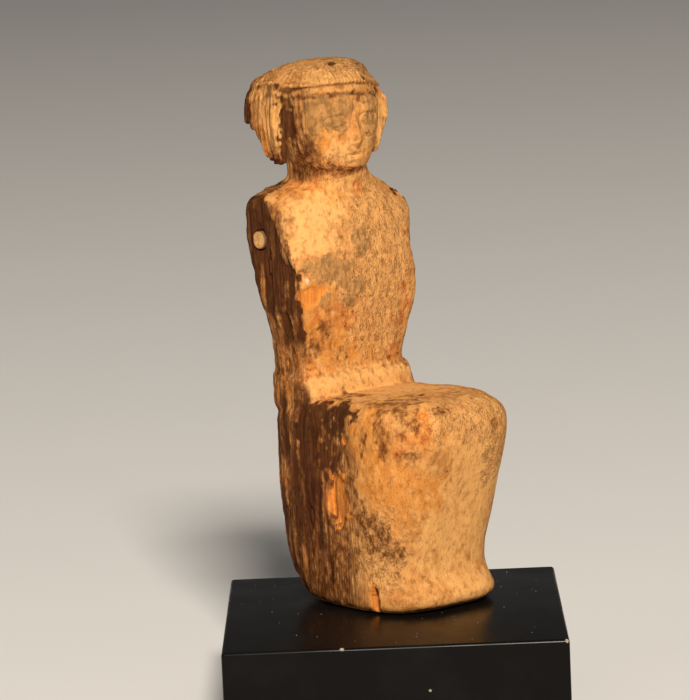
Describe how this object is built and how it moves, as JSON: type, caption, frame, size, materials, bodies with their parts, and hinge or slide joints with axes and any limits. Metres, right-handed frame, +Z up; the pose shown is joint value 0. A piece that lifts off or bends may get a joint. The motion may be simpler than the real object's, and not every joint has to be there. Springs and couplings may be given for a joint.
{
  "type": "seated wooden tomb figurine on a block",
  "caption": "Carved wooden figurine of a seated man in a short wig and long kilt, arms lost, on a low black mounting block.",
  "frame": {"origin": "centre of the mounting block's underside", "axes": "+Z up; the block's front faces -Y and its sides lie along X and Y; the figurine stands on it turned 40 degrees from -Y towards +X"},
  "size_m": [0.075, 0.083, 0.146],
  "materials": {
    "carved_wood": "worn carved wood, open vertical grain, patchy dark patina and traces of ochre paint",
    "peg_wood": "pale end grain, dry",
    "black_block": "black gloss lacquer, a few chips on the edges"
  },
  "bodies": {
    "root": {"figure": "carved_wood", "right_shoulder_peg": "peg_wood", "mounting_block": "black_block"}
  },
  "joints": []
}
